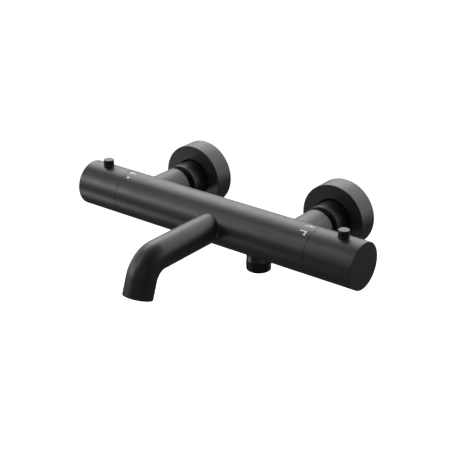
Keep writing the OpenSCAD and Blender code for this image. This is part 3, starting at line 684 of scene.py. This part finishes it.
def knob(name, body, node, end):
    """Hollow knob with a closed outer end, a hole for its button and one for its screw."""
    seam = RIGHT_SEAM if end > 0 else LEFT_SEAM
    tube = Tube((seam, BAR_Y, BAR_Z), (end, 0, 0), (0, 0, 1))
    skin = Skin()
    # place, turn, radius, edge rounding and half window of each hole
    holes = ((BUTTON_AT, UP, BUTTON_R + RUN_FIT, 0.3 * MM, (7 * MM, 24)),
             (GRUB_AT, UNDER, GRUB_R + GRUB_GAP, 0.25 * MM, (4.5 * MM, 15)))
    windows = [Window(tube, s, turn, *half) for s, turn, _, _, half in holes]
    near, far = KNOB_GAP, KNOB_GAP + KNOB_L
    step = 1.4 * MM
    first, last, outer_edges = tube_skin(
        skin, tube, BAR_R, near + SEAM_EDGE, far - EDGE, windows, step)
    in_first, in_last, inner_edges = tube_skin(
        skin, tube, KNOB_BORE_R, near + SEAM_EDGE, KNOB_FLOOR, windows, step)
    crown = arc((BAR_R, far), (BAR_R, near), (0, far), EDGE)[1:]
    for r, s in crown:
        last = skin.grow(last, tube.at(r, s, TURNS))
    skin.close(last, tube.at(0, far, 0)[0])
    skin.close(in_last, tube.at(0, KNOB_FLOOR, 0)[0])
    rim = arc((BAR_R, near), (BAR_R, far), (0, near), SEAM_EDGE)[1:]
    mouth = arc((KNOB_BORE_R, near), (BAR_R, near), (KNOB_BORE_R, far), SEAM_EDGE)[:-1]
    last = first
    for r, s in rim + mouth:
        last = skin.grow(last, tube.at(r, s, TURNS))
    skin.bridge(last, in_first)
    for (_, _, reach, fillet, _), window, edge, inner_edge in zip(
            holes, windows, outer_edges, inner_edges):
        last, phi = meet(skin, BAR_R, window, edge, reach, fillet, -1)
        inner_last, inner_phi = meet(skin, KNOB_BORE_R, window, inner_edge, reach, 0, -1)
        skin.zip(last, phi, inner_last, inner_phi)
    skin.piece(name, body, "coat", node)


def button(name, body, node, x):
    """Fluted push button with its flange and stem."""
    low, high = BAR_R + 0.5 * MM, BUTTON_TOP - 0.9 * MM
    run_out, valley = 0.45 * MM, 0.35

    def fluted(turns, r, s):
        if abs(r - BUTTON_R) > HAIR:
            return np.full(len(turns), r)
        share = float(np.clip(min(s - low, high - s) / run_out, 0, 1))
        wave = np.clip(np.cos(np.radians(turns * BUTTON_FLUTES)), -valley, 1)
        return r - BUTTON_FLUTE_DEPTH * share ** 0.5 * (wave + valley) / (1 + valley)

    near_ends = [low + 0.25 * MM, low + 0.5 * MM, high - 0.25 * MM, high - 0.5 * MM]
    rows = stations(low, high, near_ends, 0.8 * MM)
    top_arc = arc((BUTTON_R, BUTTON_TOP), (BUTTON_R, low), (0, BUTTON_TOP), 0.4 * MM, 5)
    outline = [(0, BUTTON_FOOT), (BUTTON_STEM_R - 0.3 * MM, BUTTON_FOOT),
               (BUTTON_STEM_R, BUTTON_FOOT + 0.3 * MM),
               (BUTTON_STEM_R, BUTTON_FLANGE_TOP - BUTTON_FLANGE_T),
               (BUTTON_FLANGE_R, BUTTON_FLANGE_TOP - BUTTON_FLANGE_T),
               (BUTTON_FLANGE_R, BUTTON_FLANGE_TOP), (BUTTON_R, BUTTON_FLANGE_TOP)]
    outline += [(BUTTON_R, s) for s in rows] + top_arc + [(0, BUTTON_TOP)]
    skin = Skin()
    post = Tube((x, BAR_Y, BAR_Z), (0, 0, 1), (1, 0, 0))
    solid_lathe(skin, post, outline, shape=fluted, steps=BUTTON_FLUTES * 12)
    skin.piece(name, body, "coat", node, sharp=40)


def spout():
    """Round bored spout: straight, bent down and straight again, with a hole for its screw."""
    root = Tube((SPOUT_X, BAR_Y, BAR_Z), (0, -1, 0), (0, 0, 1))
    bend_start, bend_end = SPOUT_STRAIGHT, SPOUT_STRAIGHT + SPOUT_BEND_R * SPOUT_BEND
    tip = bend_end + SPOUT_TIP

    def bent(s):
        """Cross section at a length along the centre line."""
        turned = float(np.clip((s - bend_start) / SPOUT_BEND_R, 0, SPOUT_BEND))
        reach = min(s, bend_start) + SPOUT_BEND_R * math.sin(turned)
        drop = SPOUT_BEND_R * (1 - math.cos(turned))
        past = max(s - bend_end, 0)
        along = (0, -math.cos(turned), -math.sin(turned))
        centre = (SPOUT_X, BAR_Y - reach + past * along[1], BAR_Z - drop + past * along[2])
        return Tube(centre, along, (0, -math.sin(turned), math.cos(turned)))

    skin = Skin()
    reach = GRUB_R + FIXED_FIT
    outer_window = Window(root, SET_SCREW_AT, UNDER, 3.6 * MM, 18)
    inner_window = Window(root, SET_SCREW_AT, UNDER, 3.6 * MM, 24)
    step = 1.2 * MM
    first, last, (edge,) = tube_skin(
        skin, root, SPOUT_R, SPOUT_SEAT, bend_start, [outer_window], step)
    in_first, in_last, (inner_edge,) = tube_skin(
        skin, root, SPOUT_ROOT_R, SPOUT_SEAT, SPOUT_ROOT_END, [inner_window], step)
    hole, phi = meet(skin, SPOUT_R, outer_window, edge, reach, 0.2 * MM, -1)
    inner_hole, inner_phi = meet(skin, SPOUT_ROOT_R, inner_window, inner_edge, reach, 0, -1)
    skin.zip(hole, phi, inner_hole, inner_phi)
    skin.bridge(in_first, first)
    rounding = 0.6 * MM
    walls_end = tip - rounding
    wall_out = [(SPOUT_R, s) for s in stations(bend_start, walls_end, [bend_end], 1 * MM)[1:]]
    rim = arc((SPOUT_R, tip), (SPOUT_R, bend_end), (0, tip), rounding, 5)
    lip = arc((SPOUT_BORE_R, tip), (SPOUT_R, tip), (SPOUT_BORE_R, bend_end), 0.5 * MM)
    wall_in = [(SPOUT_BORE_R, s) for s in stations(bend_start, walls_end, [bend_end], 2 * MM)[::-1]]
    back = [(SPOUT_BORE_R, s) for s in stations(SPOUT_ROOT_END, bend_start, [], 8 * MM)[-2::-1]]
    shoulder = [(SPOUT_ROOT_R + HAIR, SPOUT_ROOT_END)]
    for r, s in wall_out + rim + lip + wall_in + back + shoulder:
        last = skin.grow(last, bent(s).at(r, 0, TURNS))
    skin.bridge(last, in_last)
    skin.piece("spout_shell", "mixer", "coat", "spout_tube")


def from_wall(x, height):
    """Axis of an inlet line: places along it are distances from the wall."""
    return Tube((x, 0, height), (0, -1, 0), (0, 0, 1))


def rosette(name, node, x):
    """Hollow cover disc with its plain inner web."""
    r, t, wall = ROSETTE_R, ROSETTE_T, ROSETTE_WALL
    web_near, web_far = ROSETTE_WEB
    # radius, distance from the wall, rounding
    corners = [
        (r - wall, 0, 0.3 * MM), (r, 0, 0.3 * MM), (r, t, 0.45 * MM),
        (ROSETTE_HOLE_R, t, 0.35 * MM), (ROSETTE_HOLE_R, web_far, 0),
        (NUT_BORE_R, web_far, 0.2 * MM), (NUT_BORE_R, web_near, 0.2 * MM),
        (ROSETTE_HOLE_R + wall, web_near, 0.6 * MM), (ROSETTE_HOLE_R + wall, t - wall, 0.5 * MM),
        (r - wall, t - wall, 0.5 * MM)]
    skin = Skin()
    closed_lathe(skin, from_wall(x, BAR_Z), cut_up(rounded(corners, True), 3 * MM, True), steps=160)
    skin.piece(name, "mixer", "coat", node)


def union_nut(name, node, x):
    """Round union nut with its inner lip."""
    # radius, distance from the wall, rounding
    corners = [
        (NUT_BORE_R, NUT_NEAR, 0.5 * MM), (NUT_R, NUT_NEAR, 0.5 * MM), (NUT_R, NUT_FAR, 0.7 * MM),
        (NUT_NECK_R, NUT_FAR, 0.4 * MM), (NUT_NECK_R, NUT_FAR - NUT_LIP, 0.2 * MM),
        (NUT_BORE_R, NUT_FAR - NUT_LIP, 0.2 * MM)]
    skin = Skin()
    closed_lathe(skin, from_wall(x, BAR_Z), cut_up(rounded(corners, True), 3 * MM, True))
    skin.piece(name, "mixer", "coat", node)


def eccentric_union(name, node, x):
    """Cast union from the wall thread to the nut, whose two ends lie on different axes."""
    shift_from, shift_to = 2 * MM, 7.6 * MM
    shift_step, chamfer = 0.8 * MM, 0.5 * MM
    thread_low, thread_high = -UNION_THREAD_END, 1.5 * MM
    thread_floor_r = 9 * MM
    wall_z = middle("hot_s_union", Z) - radius("hot_s_union", Z) + UNION_MID_R

    def shifted(s):
        share = float(np.clip((s - shift_from) / (shift_to - shift_from), 0, 1))
        share = share * share * (3 - 2 * share)
        return from_wall(x, wall_z + (BAR_Z - wall_z) * share)

    def section(s):
        tube = shifted(s)
        return Tube(tube.origin + tube.along * s, tube.along, tube.top)

    def threaded(turns, r, s):
        if s > thread_high:
            return np.full(len(turns), r)
        return thread(turns, r, s, thread_low, thread_high, thread_floor_r)

    rows = stations(thread_low, thread_high, [], THREAD_PITCH / 10)
    outer = [(THREAD_R, s) for s in rows] + [(UNION_MID_R, thread_high + 0.05 * MM)]
    for s in stations(shift_from, shift_to, [], shift_step):
        share = (s - shift_from) / (shift_to - shift_from)
        outer.append((UNION_MID_R + (UNION_STUB_R - UNION_MID_R) * share, s))
    outer += cut_up([(UNION_STUB_R, shift_to + shift_step),
                     (UNION_STUB_R, UNION_STUB_END - chamfer),
                     (UNION_STUB_R - chamfer, UNION_STUB_END)], 3 * MM, False)
    bends = [shift_from + k * shift_step for k in range(8)]
    bore = [(UNION_BORE_R, s) for s in stations(thread_low, UNION_STUB_END, bends, 4 * MM)[::-1]]
    skin = Skin()
    closed_lathe(skin, None, outer + bore, shape=threaded, bend=section)
    skin.piece(name, "mixer", "brass", node, sharp=50)


def hose_outlet():
    """Threaded stub under the bar that takes the shower hose."""
    low = OUTLET_NECK_END + 0.05 * MM
    thread_floor_r = 9.5 * MM
    chamfer, shoulder = 0.3 * MM, 0.6 * MM
    rows = stations(low, OUTLET_END, [], THREAD_PITCH / 12)
    outline = [(OUTLET_STEM_R, OUTLET_TOP), (OUTLET_STEM_R, OUTLET_NECK_END - 0.1 * MM)]
    outline += [(OUTLET_STEM_R + shoulder, low - 0.02 * MM)]
    outline += [(THREAD_R, s) for s in rows]
    outline += [(OUTLET_BORE_R + chamfer, OUTLET_END), (OUTLET_BORE_R, OUTLET_END - chamfer)]
    outline += [(OUTLET_BORE_R, s) for s in stations(OUTLET_TOP, OUTLET_END - MM, [], 4 * MM)[::-1]]
    skin = Skin()
    down = Tube((OUTLET_X, BAR_Y, BAR_Z), (0, 0, -1), (1, 0, 0))
    closed_lathe(skin, down, outline, shape=lambda turns, r, s: thread(
        turns, r, s, low, OUTLET_END, thread_floor_r))
    skin.piece("outlet_stub", "mixer", "coat", "hose_outlet", sharp=50)


LOW, HIGH = 0, 1

# CAD node, body its coil rides on, joint that presses it, axis of the coil and its fixed end
SPRINGS = (
    ("temperature_button_spring", "temperature_knob", "temperature_button_press", Z, LOW),
    ("flow_button_spring", "flow_knob", "flow_button_press", Z, LOW),
    ("thermo_return_spring", "mixer", "thermostat_piston_travel", X, HIGH),
    ("hot_check_spring", "mixer", "hot_check_lift", Y, LOW),
    ("cold_check_spring", "mixer", "cold_check_lift", Y, LOW),
    ("outlet_check_spring", "mixer", "outlet_check_lift", Z, LOW),
)


def springs():
    """Smooth copies of the CAD coils, riding on their bodies in place of the CAD springs."""
    for node, body, joint, axis, fixed in SPRINGS:
        cad = cad_object(node)
        coil = bpy.data.objects.new(node.replace("spring", "coil"), cad.data.copy())
        bpy.context.scene.collection.objects.link(coil)
        coil.matrix_world = cad.matrix_world
        coil.data.shade_smooth()
        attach(coil, body)
        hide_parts(node)
        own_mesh(coil)


# ---------------------------------------------------------------- studio

# Viewing direction: from the front right, looking down
AZIMUTH, ELEVATION = math.radians(37.69), math.radians(24.21)
DISTANCE = 0.986
LOOK_RIGHT, LOOK_UP = 7.46 * MM, -4.29 * MM
LENS, SENSOR = 94.78, 36


def camera():
    """Long lens from the front right, aimed a little beside the bar's middle."""
    back = Vector((math.sin(AZIMUTH) * math.cos(ELEVATION),
                   -math.cos(AZIMUTH) * math.cos(ELEVATION), math.sin(ELEVATION)))
    right = Vector((math.cos(AZIMUTH), math.sin(AZIMUTH), 0))
    up = back.cross(right)
    made = bpy.data.objects.new("camera", bpy.data.cameras.new("camera"))
    bpy.context.scene.collection.objects.link(made)
    made.data.lens, made.data.sensor_width = LENS, SENSOR
    aim = Vector((0, BAR_Y, BAR_Z)) + right * LOOK_RIGHT + up * LOOK_UP
    turn = Matrix((right, up, back)).transposed().to_4x4()
    made.matrix_world = Matrix.Translation(aim + back * DISTANCE) @ turn
    bpy.context.scene.camera = made


# Name, direction from the bar, width and height in metres, power in watts
SOFTBOXES = (
    ("back_left", (-0.52, 0.80, 0.22), 1.3, 0.6, 3.6),
    ("back_left_high", (-0.54, 0.64, 0.52), 1.2, 0.5, 6.7),
    ("back", (0.10, 0.93, 0.20), 0.9, 0.6, 1.3),
    ("back_high", (0.10, 0.80, 0.60), 0.9, 0.6, 4.8),
    ("back_right", (0.60, 0.72, 0.30), 1.0, 0.9, 4.9),
    ("top_back_left", (-0.56, 0.38, 0.74), 0.8, 0.4, 4.6),
    ("top_back", (-0.30, 0.60, 0.80), 0.9, 0.8, 0.9),
    ("top", (-0.30, 0.00, 1.00), 1.0, 1.0, 0.7),
    ("front_left_top", (-0.50, -0.45, 0.80), 0.8, 0.5, 1.2),
    ("front_left", (-0.70, -0.63, 0.335), 0.45, 0.30, 4.2),
    ("front_high", (-0.42, -0.57, 0.70), 0.45, 0.34, 1.5),
    ("front_left_middle", (-0.75, -0.66, 0.06), 0.45, 0.3, 0.4),
    ("front_left_low", (-0.75, -0.45, -0.49), 0.45, 0.3, 1.9),
    ("left", (-1.00, 0.00, 0.20), 0.9, 0.9, 3.5),
    ("front_right", (0.50, -0.80, 0.30), 0.9, 0.9, 0.6),
    ("back_right_low", (0.66, 0.72, -0.10), 0.9, 0.3, 0.7),
    ("below_right", (0.60, -0.20, -0.80), 0.9, 0.9, 2.5),
)
SOFTBOX_DISTANCE = 1.3
AMBIENT, BACKDROP = 0.08, 1.1


def softbox(name, direction, width, height, power):
    """Rectangular light that faces the bar from a direction."""
    data = bpy.data.lights.new(name, "AREA")
    data.shape = "RECTANGLE"
    data.size, data.size_y = width, height
    data.energy = power
    made = bpy.data.objects.new(name, data)
    bpy.context.scene.collection.objects.link(made)
    toward = Vector(direction).normalized()
    made.location = Vector((0, BAR_Y, BAR_Z)) + toward * SOFTBOX_DISTANCE
    made.rotation_euler = toward.to_track_quat("Z", "Y").to_euler()
    made.visible_camera = False


def studio():
    """White surroundings for the camera, and softboxes that draw the bands along the bar."""
    scene = bpy.context.scene
    scene.view_settings.view_transform = "Standard"
    world = bpy.data.worlds.new("studio")
    scene.world = world
    world.use_nodes = True
    tree = world.node_tree
    shade = tree.nodes["Background"]
    path = tree.nodes.new("ShaderNodeLightPath")
    level = tree.nodes.new("ShaderNodeMapRange")
    level.inputs["To Min"].default_value = AMBIENT
    level.inputs["To Max"].default_value = BACKDROP
    tree.links.new(path.outputs["Is Camera Ray"], level.inputs["Value"])
    tree.links.new(level.outputs["Result"], shade.inputs["Strength"])
    shade.inputs["Color"].default_value = (1, 1, 1, 1)
    for name, direction, width, height, power in SOFTBOXES:
        softbox(name, direction, width, height, power)


def floor():
    """Pale floor well below the part; it lights nothing."""
    drop, reach = -0.75, 6
    mesh = bpy.data.meshes.new("floor")
    mesh.from_pydata([(-reach, -reach, drop), (reach, -reach, drop),
                      (reach, reach, drop), (-reach, reach, drop)], [], [(0, 1, 2, 3)])
    made = bpy.data.objects.new("floor", mesh)
    bpy.context.scene.collection.objects.link(made)
    material = bpy.data.materials.new("floor")
    material.use_nodes = True
    shader = material.node_tree.nodes["Principled BSDF"]
    shader.inputs["Base Color"].default_value = (0.9, 0.9, 0.9, 1)
    shader.inputs["Roughness"].default_value = 0.9
    shader.inputs["Emission Color"].default_value = (1, 1, 1, 1)
    shader.inputs["Emission Strength"].default_value = 1.0
    mesh.materials.append(material)
    made.visible_diffuse = made.visible_glossy = made.visible_transmission = False
    made.visible_shadow = False


finish_cad_nodes()
mixer_body()
knob("temperature_knob_shell", "temperature_knob", "temperature_knob", -1)
knob("flow_knob_shell", "flow_knob", "flow_knob", 1)
button("temperature_button_cap", "temperature_button", "temperature_button", LEFT_SEAM - BUTTON_AT)
button("flow_button_cap", "flow_button", "flow_button", RIGHT_SEAM + BUTTON_AT)
spout()
for side, x in (("hot", HOT_X), ("cold", COLD_X)):
    rosette(side + "_cover", side + "_rosette", x)
    union_nut(side + "_nut", side + "_union_nut", x)
    eccentric_union(side + "_union", side + "_s_union", x)
hose_outlet()
springs()
studio()
floor()
camera()
